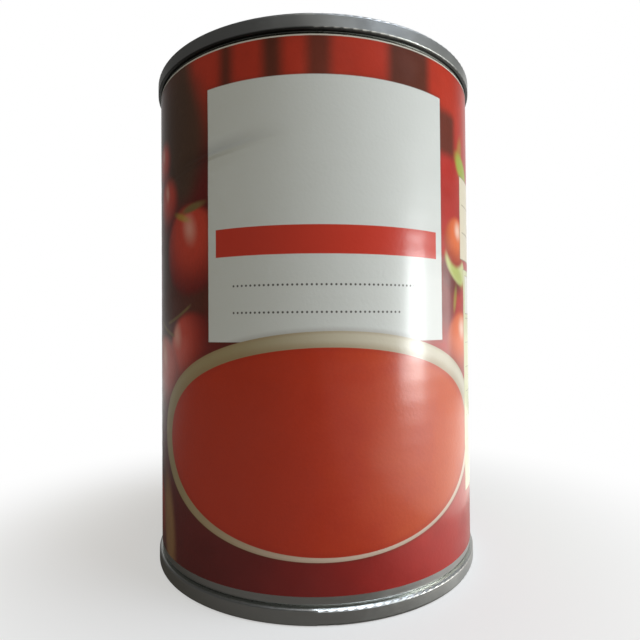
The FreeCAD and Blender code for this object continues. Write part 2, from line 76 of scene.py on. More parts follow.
def arithmetic(operation: str, swapped: bool = False) -> Callable[["Field", Number], "Field"]:
    """Makes one of Field's operators.

    Args:
        operation: The operation's name on a Math node.
        swapped: Whether the other value comes first.

    Returns:
        The operator.
    """

    def operator(self: "Field", other: Number) -> "Field":
        """This value and the other, joined by the operation."""
        first, second = (other, self) if swapped else (self, other)
        return self.graph.maths(operation, first, second)

    return operator


class Field:
    """A number or a colour that varies over a surface: the output of a node, with arithmetic."""

    __add__ = arithmetic("ADD")
    __sub__ = arithmetic("SUBTRACT")
    __rsub__ = arithmetic("SUBTRACT", swapped=True)
    __mul__ = arithmetic("MULTIPLY")
    __truediv__ = arithmetic("DIVIDE")
    __rtruediv__ = arithmetic("DIVIDE", swapped=True)
    least = arithmetic("MINIMUM")
    most = arithmetic("MAXIMUM")

    def __init__(self, graph: "Graph", socket: bpy.types.NodeSocket) -> None:
        """Holds one output socket of a graph.

        Args:
            graph: The graph that the socket belongs to.
            socket: The output socket that carries the value.
        """
        self.graph = graph
        self.socket = socket

    def __abs__(self) -> "Field":
        """The value without its sign."""
        return self.graph.maths("ABSOLUTE", self)

    def squared(self) -> "Field":
        """The value times itself."""
        return self * self

    def root(self) -> "Field":
        """The square root."""
        return self.graph.maths("SQRT", self)

    def ramp(self, start: float, end: float) -> "Field":
        """A smooth rise from 0 at start to 1 at end, or a fall if end is the smaller.

        Args:
            start: The value at which the result is 0.
            end: The value at which the result is 1.

        Returns:
            The eased fraction.
        """
        node = self.graph.node("ShaderNodeMapRange")
        node.interpolation_type = "SMOOTHSTEP"
        self.graph.feed(node.inputs["Value"], self)
        node.inputs["From Min"].default_value = min(start, end)
        node.inputs["From Max"].default_value = max(start, end)
        rise = Field(self.graph, node.outputs["Result"])
        return rise if start <= end else 1.0 - rise


class Graph:
    """A node tree under construction, with short names for the nodes that the finishes use."""

    def __init__(self, tree: bpy.types.NodeTree) -> None:
        """Starts on a node tree.

        Args:
            tree: The tree that new nodes go into.
        """
        self.tree = tree

    def node(self, kind: str) -> bpy.types.Node:
        """A new node of a kind."""
        return self.tree.nodes.new(kind)

    def feed(self, socket: bpy.types.NodeSocket, value: Union[Number, Colour, Sequence[float]]) -> None:
        """Links a field to an input, or sets the input's own value.

        Args:
            socket: The input to feed.
            value: A field, a number, a colour or a vector.
        """
        if isinstance(value, Field):
            self.tree.links.new(value.socket, socket)
        elif socket.type == "RGBA":
            socket.default_value = (*value, 1.0)
        else:
            socket.default_value = value

    def maths(self, operation: str, first: Number, second: Number = 0.0) -> Field:
        """One arithmetic step.

        Args:
            operation: The operation's name on a Math node.
            first: The first value.
            second: The second value, if the operation has one.

        Returns:
            The result.
        """
        node = self.node("ShaderNodeMath")
        node.operation = operation
        self.feed(node.inputs[0], first)
        self.feed(node.inputs[1], second)
        return Field(self, node.outputs[0])

    def blend(self, under: Union[Field, Colour], over: Union[Field, Colour], cover: Number) -> Field:
        """One colour laid over another.

        Args:
            under: The colour beneath.
            over: The colour on top.
            cover: How much of the upper one shows, from 0 to 1.

        Returns:
            The mixed colour.
        """
        node = self.node("ShaderNodeMix")
        node.data_type = "RGBA"
        self.feed(node.inputs[0], cover)
        self.feed(node.inputs[6], under)
        self.feed(node.inputs[7], over)
        return Field(self, node.outputs[2])

    def scaled(self, value: Union[Field, Colour], factor: Number) -> Field:
        """A colour made lighter or darker, or a vector made longer or shorter.

        Args:
            value: The colour or the vector.
            factor: What each of its three numbers is multiplied by.

        Returns:
            The changed colour or vector.
        """
        node = self.node("ShaderNodeVectorMath")
        node.operation = "SCALE"
        self.feed(node.inputs[0], value)
        self.feed(node.inputs["Scale"], factor)
        return Field(self, node.outputs[0])

    def flat(self, x: Field, y: Field) -> Field:
        """A vector from two values, with 0 as its third."""
        node = self.node("ShaderNodeCombineXYZ")
        self.feed(node.inputs[0], x)
        self.feed(node.inputs[1], y)
        return Field(self, node.outputs[0])

    def parts(self, vector: Field) -> tuple[Field, Field, Field]:
        """The three values of a vector."""
        node = self.node("ShaderNodeSeparateXYZ")
        self.feed(node.inputs[0], vector)
        x, y, z = (Field(self, output) for output in node.outputs)
        return x, y, z

    def noise(self, place: Field, scale: float, detail: float, roughness: float = 0.5) -> Field:
        """Cloudy noise from 0 to 1, with its middle at one half.

        Args:
            place: Where on the surface, as a vector.
            scale: How many clouds fit in one unit of the vector.
            detail: How many finer layers are added.
            roughness: How strong the finer layers are.

        Returns:
            The noise.
        """
        node = self.node("ShaderNodeTexNoise")
        self.feed(node.inputs["Vector"], place)
        self.feed(node.inputs["Scale"], scale)
        self.feed(node.inputs["Detail"], detail)
        self.feed(node.inputs["Roughness"], roughness)
        return Field(self, node.outputs["Fac"])

    def object_place(self) -> Field:
        """The point on the surface, in metres in the tin's frame."""
        return Field(self, self.node("ShaderNodeTexCoord").outputs["Object"])

    def bump(self, height: Field, distance: float, strength: float = 1.0) -> Field:
        """A surface normal bent by a height.

        Args:
            height: The height, from 0 to 1.
            distance: What a height of 1 stands for, in metres.
            strength: How much of the bump shows.

        Returns:
            The normal.
        """
        node = self.node("ShaderNodeBump")
        self.feed(node.inputs["Height"], height)
        node.inputs["Distance"].default_value = distance
        node.inputs["Strength"].default_value = strength
        return Field(self, node.outputs["Normal"])

    def group(self, tree: bpy.types.NodeTree, **values: Union[Number, Colour]) -> dict[str, Field]:
        """A shared effect placed in this graph.

        Args:
            tree: The effect's node group.
            **values: What its inputs are given, by name.

        Returns:
            What it gives out, by name.
        """
        node = self.node("ShaderNodeGroup")
        node.node_tree = tree
        for name, value in values.items():
            self.feed(node.inputs[name], value)
        return {output.name: Field(self, output) for output in node.outputs}


@dataclass(frozen=True)
class Effects:
    """The effects that several finishes share, each built once as a node group."""

    grain: bpy.types.NodeTree
    smudge: bpy.types.NodeTree
    wear: bpy.types.NodeTree

    @staticmethod
    def start(
        name: str, inputs: dict[str, str], outputs: dict[str, str]
    ) -> tuple[Graph, dict[str, Field], bpy.types.bpy_prop_collection]:
        """An empty node group with its sockets.

        Args:
            name: The group's name.
            inputs: The kind of each input socket, by its name.
            outputs: The kind of each output socket, by its name.

        Returns:
            The graph inside the group, what it is given by name, and the sockets that take its results.
        """
        tree = bpy.data.node_groups.new(name, "ShaderNodeTree")
        for direction, kinds in (("INPUT", inputs), ("OUTPUT", outputs)):
            for socket, kind in kinds.items():
                tree.interface.new_socket(socket, in_out=direction, socket_type="NodeSocket" + kind)
        graph = Graph(tree)
        sockets = graph.node("NodeGroupInput").outputs
        given = {name: Field(graph, sockets[name]) for name in inputs}
        return graph, given, graph.node("NodeGroupOutput").inputs

    @classmethod
    def build(cls) -> "Effects":
        """Builds every shared effect."""
        return cls(cls.rolled_grain(), cls.handling_smudge(), cls.edge_wear())

    @classmethod
    def rolled_grain(cls) -> bpy.types.NodeTree:
        """Builds long fine streaks, as rolling leaves them on sheet.

        Returns:
            The group, which gives a height and a softer tone.
        """
        graph, given, result = cls.start(
            "rolled_grain", {"Place": "Vector", "Stretch": "Vector"}, {"Height": "Float", "Tone": "Float"}
        )
        stretch = graph.node("ShaderNodeVectorMath")
        stretch.operation = "MULTIPLY"
        graph.feed(stretch.inputs[0], given["Place"])
        graph.feed(stretch.inputs[1], given["Stretch"])
        place = Field(graph, stretch.outputs[0])
        fine = graph.noise(place, 1.0, detail=3.0, roughness=0.6)
        broad = graph.noise(place, 0.17, detail=2.0)
        graph.feed(result["Height"], fine * 0.7 + broad * 0.3)
        graph.feed(result["Tone"], broad.ramp(0.3, 0.7))
        return graph.tree

    @classmethod
    def handling_smudge(cls) -> bpy.types.NodeTree:
        """Builds soft patches where hands and shelves have dulled a surface.

        Returns:
            The group, which gives their mask.
        """
        graph, given, result = cls.start(
            "handling_smudge", {"Place": "Vector", "Size": "Float"}, {"Mask": "Float"}
        )
        place = graph.scaled(given["Place"], 1.0 / given["Size"])
        patches = graph.noise(place, 1.0, detail=4.0, roughness=0.62)
        graph.feed(result["Mask"], patches.ramp(0.42, 0.72))
        return graph.tree

    @classmethod
    def edge_wear(cls) -> bpy.types.NodeTree:
        """Builds broken bright or dull marks near an edge.

        Returns:
            The group, which gives their mask from the distance to that edge.
        """
        graph, given, result = cls.start(
            "edge_wear",
            {"Place": "Vector", "Distance": "Float", "Reach": "Float", "Grain": "Float"},
            {"Mask": "Float"},
        )
        near = (1.0 - given["Distance"] / given["Reach"]).most(0.0).least(1.0)
        place = graph.scaled(given["Place"], 1.0 / given["Grain"])
        broken = graph.noise(place, 1.0, detail=4.0, roughness=0.7)
        marks = (broken * 0.9 + near * 0.55).ramp(0.62, 0.86)
        graph.feed(result["Mask"], marks * near.ramp(0.0, 0.35))
        return graph.tree


def new_material(name: str) -> tuple[bpy.types.Material, Graph, bpy.types.Node]:
    """A node material with its shader.

    Args:
        name: The material's name.

    Returns:
        The material, its graph and its Principled BSDF.
    """
    material = bpy.data.materials.new(name)
    material.use_nodes = True
    shader = next(n for n in material.node_tree.nodes if n.type == "BSDF_PRINCIPLED")
    return material, Graph(material.node_tree), shader


# --- Metal and paper finishes ---


class Lay(Enum):
    """Which way a sheet's rolling streaks run on a piece."""

    ACROSS = (900.0, 26000.0, 26000.0)
    UPRIGHT = (26000.0, 26000.0, 900.0)
    ROUND = (700.0, 700.0, 30000.0)


@dataclass(frozen=True)
class Tinplate:
    """Tinned steel sheet: rolling streaks, dulled patches, and marks along the edges that rub."""

    name: str
    colour: Colour
    worn: Colour
    dull: float
    streak_lay: Lay
    streak_depth: float
    rub_radius: float
    rub_reach: float
    # The colour and the place of painted shade in the gap under the top seam.
    gap_shade_colour: Colour = (0.012, 0.012, 0.011)
    gap_shade_foot: tuple[float, float] = (104.2 * MM, 104.45 * MM)
    gap_shade_top: tuple[float, float] = (105.5 * MM, 105.2 * MM)
    gap_shade_inside: tuple[float, float] = (36.2 * MM, 36.4 * MM)

    def material(self, effects: Effects) -> bpy.types.Material:
        """Builds the metal's material, with nearly black painted shade in the gap under the top seam.

        Args:
            effects: The shared effects.

        Returns:
            The material.
        """
        material, graph, shader = new_material(self.name)
        place = graph.object_place()
        x, y, z = graph.parts(place)
        radius = (x.squared() + y.squared()).root()
        grain = graph.group(effects.grain, Place=place, Stretch=self.streak_lay.value)
        tone = grain["Tone"]
        smudge = graph.group(effects.smudge, Place=place, Size=7 * MM)["Mask"]
        off = abs(radius - self.rub_radius)
        wear = graph.group(effects.wear, Place=place, Distance=off, Reach=self.rub_reach, Grain=0.5 * MM)
        wear_and_crease_shade = wear["Mask"]
        sheet = graph.blend(graph.scaled(self.colour, 0.93), self.colour, tone)
        soiled = graph.blend(sheet, graph.scaled(self.colour, 0.86), smudge * 0.5)
        # Painted shade: a nearly black band under the top seam, standing for the shadow in the gap between
        # the label and the seam.
        gap_shade = z.ramp(*self.gap_shade_foot) * z.ramp(*self.gap_shade_top) * radius.ramp(*self.gap_shade_inside)
        worn = graph.blend(soiled, self.worn, wear_and_crease_shade * 0.7)
        graph.feed(shader.inputs["Base Color"], graph.blend(worn, self.gap_shade_colour, gap_shade * 0.95))
        graph.feed(shader.inputs["Roughness"], smudge * 0.08 + wear_and_crease_shade * 0.08 + tone * 0.05 + self.dull)
        shader.inputs["Metallic"].default_value = 1.0
        graph.feed(shader.inputs["Normal"], graph.bump(grain["Height"], self.streak_depth, 0.5))
        return material


@dataclass(frozen=True)
class PaperCore:
    """The bare paper that shows at the label's cut edges."""

    name: str = "paper_core"
    colour: Colour = (0.62, 0.59, 0.53)

    def material(self) -> bpy.types.Material:
        """Builds the matt fibrous material of a cut edge."""
        material, graph, shader = new_material(self.name)
        fibres = graph.noise(graph.object_place(), 5200.0, detail=3.0)
        graph.feed(shader.inputs["Base Color"], graph.scaled(self.colour, fibres * 0.3 + 0.82))
        graph.feed(shader.inputs["Roughness"], fibres * 0.15 + 0.78)
        return material


# --- The label's print ---
# In millimetres: x runs round the tin from the middle of the picture, towards +X at the front, and z is the
# height above the base.


@dataclass(frozen=True)
class Sheet:
    """Where a point lies on the unrolled label."""

    graph: Graph
    x: Field
    z: Field
    clouds: Field
    speckle: Field

    def box(self, left: float, right: float, low: float, high: float, soft: float = 0.1) -> Field:
        """A mask that is 1 inside an upright rectangle.

        Args:
            left: Its left side.
            right: Its right side.
            low: Its lower side.
            high: Its upper side.
            soft: How far its edges blur to each side.

        Returns:
            The mask.
        """
        across = abs(self.x - (left + right) / 2).ramp((right - left) / 2 + soft, (right - left) / 2 - soft)
        up = abs(self.z - (low + high) / 2).ramp((high - low) / 2 + soft, (high - low) / 2 - soft)
        return across * up

    def oval_distance(self, x: float, z: float, across: float, up: float, tilt: float = 0.0) -> Field:
        """The distance from an oval's middle as a share of its radius: 1 on its outline.

        Args:
            x: Its middle, round the tin.
            z: Its middle, up the tin.
            across: Half its width before it is tilted.
            up: Half its height before it is tilted.
            tilt: Degrees that it leans to the left.

        Returns:
            The share.
        """
        dx, dz = self.x - x, self.z - z
        if tilt:
            turn = math.radians(tilt)
            dx, dz = dx * math.cos(turn) + dz * math.sin(turn), dz * math.cos(turn) - dx * math.sin(turn)
        return ((dx / across).squared() + (dz / up).squared()).root()


class Motif:
    """Something printed on the label."""

    def paint(self, sheet: Sheet, under: Field) -> Field:
        """Lays the motif over what is already printed.

        Args:
            sheet: The unrolled label.
            under: The colours so far.

        Returns:
            The colours with the motif over them.
        """
        raise NotImplementedError


@dataclass(frozen=True)
class Block(Motif):
    """A rectangle of one colour, soft at its edges if it lies out of focus."""

    left: float
    right: float
    low: float
    high: float
    colour: Colour
    soft: float = 0.1
    cover: float = 1.0
    mottle: float = 0.0

    def paint(self, sheet: Sheet, under: Field) -> Field:
        """Lays the rectangle over what is there."""
        mask = sheet.box(self.left, self.right, self.low, self.high, self.soft) * self.cover
        if self.mottle:
            colour = sheet.graph.scaled(self.colour, sheet.clouds * (2 * self.mottle) + (1 - self.mottle))
            return sheet.graph.blend(under, colour, mask)
        return sheet.graph.blend(under, self.colour, mask)


@dataclass(frozen=True)
class Oval(Motif):
    """A soft oval of one colour, such as a glint or a leaf."""

    x: float
    z: float
    across: float
    up: float
    colour: Colour
    soft: float
    tilt: float = 0.0
    cover: float = 1.0

    def paint(self, sheet: Sheet, under: Field) -> Field:
        """Lays the oval over what is there."""
        distance = sheet.oval_distance(self.x, self.z, self.across, self.up, self.tilt)
        inside = distance.ramp(1 + self.soft, 1 - self.soft)
        return sheet.graph.blend(under, self.colour, inside * self.cover)


@dataclass(frozen=True)
class Tomato(Motif):
    """A tomato, round and lit from one side, sharp or out of focus."""

    x: float
    z: float
    radius: float
    colour: Colour
    shade: Colour
    glint: Colour
    shine: float
    lit_side: float
    soft: float
    glint_size: float = 0.2
    squash: float = 0.94

    def paint(self, sheet: Sheet, under: Field) -> Field:
        """Lays the fruit, its shaded side and its glint over what is there."""
        graph, radius = sheet.graph, self.radius
        body = sheet.oval_distance(self.x, self.z, radius, radius * self.squash)
        lit_x, lit_z = self.x + self.lit_side * radius, self.z + 0.34 * radius
        turned_away = sheet.oval_distance(lit_x, lit_z, radius * 1.35, radius * 1.25)
        skin = graph.blend(self.colour, self.shade, turned_away.ramp(0.25, 1.05))
        glint_z = lit_z + 0.12 * radius
        glint = sheet.oval_distance(lit_x, glint_z, self.glint_size * radius, 0.3 * radius, 18.0)
        skin = graph.blend(skin, self.glint, glint.ramp(1.7, 0.0) * self.shine)
        return graph.blend(under, skin, body.ramp(1 + self.soft, 1 - self.soft))


@dataclass(frozen=True)
class Stalk(Motif):
    """A thin curved stalk, drawn along a parabola."""

    x: float
    z: float
    length: float
    slope: float
    curve: float
    width: float
    colour: Colour

    def paint(self, sheet: Sheet, under: Field) -> Field:
        """Lays the stalk over what is there."""
        along = sheet.x - self.x
        middle = along.squared() * self.curve + along * self.slope + self.z
        off = abs(sheet.z - middle).ramp(self.width * 1.4, self.width * 0.4)
        ends = abs(along).ramp(self.length / 2 + 1.2, self.length / 2 - 0.6)
        return sheet.graph.blend(under, self.colour, off * ends * 0.85)


@dataclass(frozen=True)
class DottedRule(Motif):
    """A row of small dots."""

    left: float
    right: float
    z: float
    pitch: float
    radius: float
    colour: Colour

    def paint(self, sheet: Sheet, under: Field) -> Field:
        """Lays the dots over what is there."""
        graph = sheet.graph
        step = graph.maths("PINGPONG", sheet.x - self.left, self.pitch / 2)
        distance = (step.squared() + (sheet.z - self.z).squared()).root()
        dots = distance.ramp(self.radius * 1.35, self.radius * 0.7)
        row = sheet.box(self.left - self.radius, self.right, self.z - 1, self.z + 1)
        return graph.blend(under, self.colour, dots * row)


@dataclass(frozen=True)
class RuledBox(Motif):
    """A pale box for particulars, bare but for a thin outline and rules across it."""

    left: float
    right: float
    low: float
    high: float
    paper: Colour
    ink: Colour
    rows: int = 0
    line: float = 0.14
    soft: float = 0.12
    margin: float = 1.6

    def paint(self, sheet: Sheet, under: Field) -> Field:
        """Lays the box, its outline and its rules over what is there."""
        graph, line = sheet.graph, self.line
        outer = sheet.box(self.left, self.right, self.low, self.high, self.soft)
        inner = sheet.box(self.left + line, self.right - line, self.low + line, self.high - line, self.soft)
        drawn = graph.blend(graph.blend(under, self.ink, outer), self.paper, inner)
        if not self.rows:
            return drawn
        pitch = (self.high - self.low) / self.rows
        between = graph.maths("PINGPONG", sheet.z - self.low, pitch / 2)
        left, right = self.left + self.margin, self.right - self.margin
        ruled = sheet.box(left, right, self.low + pitch / 2, self.high - pitch / 2)
        return graph.blend(drawn, self.ink, between.ramp(line, line * 0.3) * ruled * 0.7)


@dataclass(frozen=True)
class SoupBowl(Motif):
    """A pale bowl of smooth soup, seen from above one side, with the rim widest where it is farthest."""

    x: float = 2.3
    z: float = 31.15
    across: float = 40.3
    up: float = 20.3
    lean: float = 1.1
    soup_x: float = 2.5
    soup_z: float = 30.1
    soup_across: float = 37.0
    soup_up: float = 18.45
    rim: Colour = (0.60, 0.55, 0.44)
    rim_painted_shade: Colour = (0.36, 0.28, 0.145)
    rim_shade: Colour = (0.30, 0.19, 0.09)
    rim_low: Colour = (0.74, 0.54, 0.46)
    soup: Colour = (0.49, 0.028, 0.002)
    soup_painted_light: Colour = (0.61, 0.098, 0.008)
    soup_deep: Colour = (0.40, 0.020, 0.002)
    shadow: Colour = (0.10, 0.03, 0.015)

    def paint(self, sheet: Sheet, under: Field) -> Field:
        """Lays the bowl's shadow, its rim with painted shade at its left, and the soup with painted light
        at its right, over what is there.
        """
        graph = sheet.graph
        bowl = sheet.oval_distance(self.x, self.z, self.across, self.up, self.lean)
        soup = sheet.oval_distance(self.soup_x, self.soup_z, self.soup_across, self.soup_up)
        shadow = sheet.oval_distance(self.x, self.z + 0.2, self.across, self.up, self.lean)
        below = (sheet.z - self.z).ramp(6.0, -6.0)
        drawn = graph.blend(under, self.shadow, shadow.ramp(1.045, 0.99) * (below * 0.3 + 0.25))
        inner_wall = soup.ramp(1.085, 1.005) * (1.0 - below * 0.75)
        outer_turn = bowl.ramp(0.965, 1.0) * 0.35
        # Painted shade: the rim is darker at the left.
        rim = graph.blend(self.rim_painted_shade, self.rim, sheet.x.ramp(-20.0, 15.0))
        rim = graph.blend(rim, self.rim_low, below * sheet.x.ramp(-34.0, 6.0) * 0.65)
        rim = graph.blend(rim, self.rim_shade, (inner_wall * 0.5).most(outer_turn))
        drawn = graph.blend(drawn, rim, bowl.ramp(1.004, 0.997))
        across = (sheet.x - self.soup_x) / self.soup_across
        # Painted light: the soup is lighter towards its right.
        body = graph.blend(self.soup, self.soup_painted_light, (across + sheet.clouds * 0.5).ramp(0.1, 1.2) * 0.75)
        body = graph.blend(body, self.soup_deep, (1.0 - sheet.clouds).ramp(0.45, 0.85) * 0.3)
        body = graph.blend(body, self.soup_deep, soup.ramp(0.93, 1.0) * 0.45)
        body = graph.scaled(body, sheet.speckle * 0.14 + 0.93)
        return graph.blend(drawn, body, soup.ramp(1.004, 0.996))


@dataclass(frozen=True)
class LabelPrint:
    """Everything printed on the label, from the ground colour up, with painted light and shade on it, and
    the gloss of its varnish.
    """

    name: str = "label_print"
    radius: float = 36.6
    ground: Colour = (0.26, 0.009, 0.005)
    ground_dark_and_painted_shade: Colour = (0.13, 0.010, 0.008)
    ground_painted_light: Colour = (0.45, 0.026, 0.018)
    ground_behind: Colour = (0.31, 0.016, 0.010)
    band: Colour = (0.47, 0.034, 0.014)
    stripe: Colour = (0.105, 0.026, 0.013)
    bark: Colour = (0.085, 0.042, 0.024)
    panel: Colour = (0.66, 0.675, 0.66)
    banner: Colour = (0.58, 0.040, 0.020)
    ink: Colour = (0.10, 0.095, 0.09)
    tomato: Colour = (0.58, 0.052, 0.026)
    tomato_shade: Colour = (0.17, 0.012, 0.008)
    tomato_orange: Colour = (0.74, 0.16, 0.045)
    orange_shade: Colour = (0.34, 0.035, 0.014)
    glint: Colour = (0.90, 0.62, 0.50)
    cream: Colour = (0.74, 0.66, 0.50)
    cream_green: Colour = (0.66, 0.66, 0.40)
    cream_pale: Colour = (0.76, 0.75, 0.68)
    cream_ink: Colour = (0.26, 0.21, 0.13)
    crescent: Colour = (0.60, 0.62, 0.30)
    leaf: Colour = (0.36, 0.42, 0.05)
    dry_leaf: Colour = (0.42, 0.22, 0.03)
    stalk: Colour = (0.20, 0.13, 0.045)
    twig: Colour = (0.42, 0.23, 0.09)
    cut_edge: Colour = (0.66, 0.63, 0.57)
    foot_band: Colour = (0.46, 0.045, 0.03)
    crease_x: float = -20.5
    crease_z: float = 84.6
    crease_slope: float = 0.13

    def backdrop(self) -> list[Motif]:
        """The blurred garden behind the bowl: dark stripes, tomatoes, stalks and leaves.

        Returns:
            The motifs, from the back to the front.
        """
        stripes = [
            Block(x - half, x + half, 84.0, 112.0, self.stripe, soft=1.5, cover=cover, mottle=0.25)
            for x, half, cover in (
                (-16.8, 1.4, 0.9), (-7.5, 1.8, 0.95), (1.0, 2.2, 0.85), (19.0, 4.9, 0.97),
                (-52.0, 3.0, 0.8), (-66.0, 2.0, 0.9), (-78.0, 4.0, 0.8), (-93.0, 2.2, 0.9),
                (-106.0, 3.2, 0.7), (100.0, 2.2, 0.8), (109.0, 3.0, 0.9),
            )
        ]
        shadows = [
            Block(-46.0, -26.3, 78.0, 112.0, self.bark, soft=2.4, cover=0.92, mottle=0.3),
            Oval(-31.0, 90.0, 9.0, 13.0, self.bark, soft=0.35, cover=0.95),
            Block(26.0, 33.4, 86.6, 95.4, self.stripe, soft=1.4, cover=0.88),
            Oval(-38.5, 60.0, 4.5, 11.0, self.bark, soft=0.45, cover=0.8),
            Oval(-29.0, 57.5, 10.0, 4.2, self.stripe, soft=0.5, cover=0.85),
            Oval(29.5, 57.5, 3.6, 6.5, self.ground_dark_and_painted_shade, soft=0.5, cover=0.8),
            Oval(31.9, 62.6, 5.2, 3.2, self.ground_dark_and_painted_shade, tilt=-26.0, soft=0.35, cover=0.9),
            Oval(34.4, 64.6, 5.6, 3.2, self.crescent, tilt=-26.0, soft=0.16),
            Oval(34.0, 63.2, 4.6, 1.5, self.leaf, tilt=-30.0, soft=0.5, cover=0.6),
        ]
        fruit = [
            self.fruit(-40.0, 87.0, 5.0, 0.35),
            self.fruit(-37.0, 78.0, 5.6, 0.3),
            self.fruit(-27.0, 67.4, 9.2, 0.12),
            self.fruit(-26.2, 47.4, 8.2, 0.12, lit_side=-0.7),
            self.fruit(-39.5, 42.6, 8.2, 0.14),
            self.fruit(34.2, 69.4, 5.4, 0.14, bright=True),
            self.fruit(36.2, 48.6, 6.8, 0.12, bright=True),
        ]
        hidden_side = [
            self.fruit(x, z, radius, 0.16)
            for x, z, radius in (
                (-54.0, 62.0, 10.5), (-70.0, 48.0, 9.0), (-60.0, 33.0, 11.5), (-80.0, 66.0, 9.5),
                (-88.0, 36.0, 12.0), (-100.0, 60.0, 10.0), (-108.0, 30.0, 9.0), (104.0, 55.0, 10.5),
                (101.0, 28.0, 9.0), (112.0, 76.0, 8.0), (-49.0, 12.0, 10.0), (-76.0, 13.0, 9.0),
            )
        ]
        green = [
            Oval(-25.8, 75.6, 3.4, 0.75, self.stalk, tilt=8.0, soft=0.5),
            Oval(-29.5, 74.2, 2.6, 0.6, self.leaf, tilt=-20.0, soft=0.7, cover=0.5),
            Stalk(-31.5, 54.4, 9.0, 0.34, 0.02, 0.35, self.stalk),
            Stalk(-37.5, 51.8, 8.0, -0.35, 0.02, 0.4, self.stalk),
            Oval(36.4, 88.2, 1.5, 3.6, self.dry_leaf, tilt=-14.0, soft=0.5, cover=0.8),
            Oval(38.4, 85.2, 4.8, 2.3, self.leaf, tilt=-30.0, soft=0.35),
            Oval(33.2, 57.8, 0.7, 2.6, self.leaf, tilt=-12.0, soft=0.5, cover=0.45),
            Oval(-61.0, 72.0, 5.0, 1.2, self.leaf, tilt=24.0, soft=0.5, cover=0.8),
            Oval(-93.0, 48.5, 5.5, 1.2, self.leaf, tilt=-18.0, soft=0.5, cover=0.8),
            Oval(106.0, 66.0, 4.5, 1.1, self.leaf, tilt=30.0, soft=0.5, cover=0.8),
            Oval(-36.5, 11.0, 3.0, 9.5, self.twig, tilt=8.0, soft=0.5, cover=0.75),
        ]
        return stripes + shadows + hidden_side + fruit + green

    def fruit(
        self, x: float, z: float, radius: float, soft: float, bright: bool = False, lit_side: float = 0.02
    ) -> Tomato:
        """One tomato of the backdrop.

        Args:
            x: Its middle, round the tin.
            z: Its middle, up the tin.
            radius: Its radius.
            soft: How blurred its outline is.
            bright: Whether it is one of the orange, well lit ones.
            lit_side: How far to its right the light falls on it, in radii, unless it is bright.

        Returns:
            The tomato.
        """
        if bright:
            skin = (self.tomato_orange, self.orange_shade, self.glint)
            return Tomato(x, z, radius, *skin, shine=0.95, lit_side=0.12, soft=soft, glint_size=0.26)
        skin = (self.tomato, self.tomato_shade, self.glint)
        return Tomato(x, z, radius, *skin, shine=0.42, lit_side=lit_side, soft=soft)

    def front(self) -> list[Motif]:
        """The bare name panel with its banner and rules, the bowl, and the boxes at the side.

        Returns:
            The motifs, from the back to the front.
        """
        return [
            Block(-21.5, 27.8, 49.0, 97.5, self.stripe, soft=0.6, cover=0.35),
            Block(-21.2, 27.5, 49.5, 97.2, self.panel),
            Block(-19.3, 25.7, 65.2, 70.4, self.banner, soft=0.08),
            DottedRule(-15.3, 19.4, 59.75, 0.87, 0.2, self.ink),
            DottedRule(-15.3, 16.4, 54.85, 0.87, 0.2, self.ink),
            Block(-200.0, 200.0, 104.12, 110.0, self.cut_edge, soft=0.05),
            SoupBowl(),
            Block(38.6, 97.0, 4.0, 17.0, self.foot_band, soft=0.2),
            RuledBox(38.6, 97.0, 17.0, 64.4, self.cream_green, self.cream_ink, rows=9),
            RuledBox(40.2, 66.0, 54.8, 63.2, self.cream_pale, self.cream_ink),
            RuledBox(36.3, 76.0, 66.2, 84.0, self.cream, self.cream_ink, rows=3, line=0.2),
            RuledBox(78.0, 97.0, 66.2, 84.0, self.cream_green, self.cream_ink, line=0.2),
        ]

    def crease(self, x: Field, z: Field) -> tuple[Field, Field]:
        """The soft crease that a knock left across the upper left of the front.

        Args:
            x: The place round the tin.
            z: The place up the tin.

        Returns:
            How deep it is pressed in, and how strongly painted shade darkens the band above its line, both
            from 0 to 1.
        """
        along = x - self.crease_x
        rise = z - along * self.crease_slope - self.crease_z
        off = abs(rise)
        reach = abs(along).ramp(17.0, 1.0)
        pressed = (off.ramp(3.6, 0.0) * 0.6 + off.ramp(1.0, 0.0) * 0.4) * reach
        # The second value is painted shade along the upper side of the crease.
        return pressed, rise.ramp(3.4, 0.4) * rise.ramp(-0.4, 0.3) * reach

    def ground_colour(self, sheet: Sheet) -> Field:
        """The red under everything: painted shade at the left, painted light at the right, and lighter
        along the top.

        Args:
            sheet: The unrolled label.

        Returns:
            The colour.
        """
        graph, clouds = sheet.graph, sheet.clouds
        # Painted light and shade: the ground is darker at the left and brighter at the right, as if lit
        # from the right.
        side = sheet.x.ramp(-30.0, 34.0)
        ground = graph.blend(self.ground_dark_and_painted_shade, self.ground, side.ramp(0.0, 0.62))
        ground = graph.blend(ground, self.ground_painted_light, side.ramp(0.5, 1.0))
        ground = graph.blend(ground, self.ground_behind, abs(sheet.x).ramp(42.0, 105.0))
        ground = graph.scaled(ground, clouds * 0.5 + 0.75)
        band = graph.scaled(self.band, clouds * 0.5 + 0.76)
        return graph.blend(ground, band, sheet.z.ramp(84.0, 98.0))

    def material(self, effects: Effects) -> bpy.types.Material:
        """Builds the print and its varnish.

        Args:
            effects: The shared effects.

        Returns:
            The material.
        """
        material, graph, shader = new_material(self.name)
        place = graph.object_place()
        east, north, up = graph.parts(place)
        x = graph.maths("ARCTAN2", east, north * -1.0) * self.radius
        z = up * (1 / MM)
        unrolled = graph.flat(x, z)
        clouds = graph.noise(unrolled, 0.11, detail=4.0, roughness=0.55)
        speckle = graph.noise(unrolled, 2.4, detail=2.0)
        sheet = Sheet(graph, x, z, clouds, speckle)
        colour = self.ground_colour(sheet)
        for motif in self.backdrop() + self.front():
            colour = motif.paint(sheet, colour)
        smudge = graph.group(effects.smudge, Place=place, Size=11 * MM)["Mask"]
        pressed, wear_and_crease_shade = self.crease(x, z)
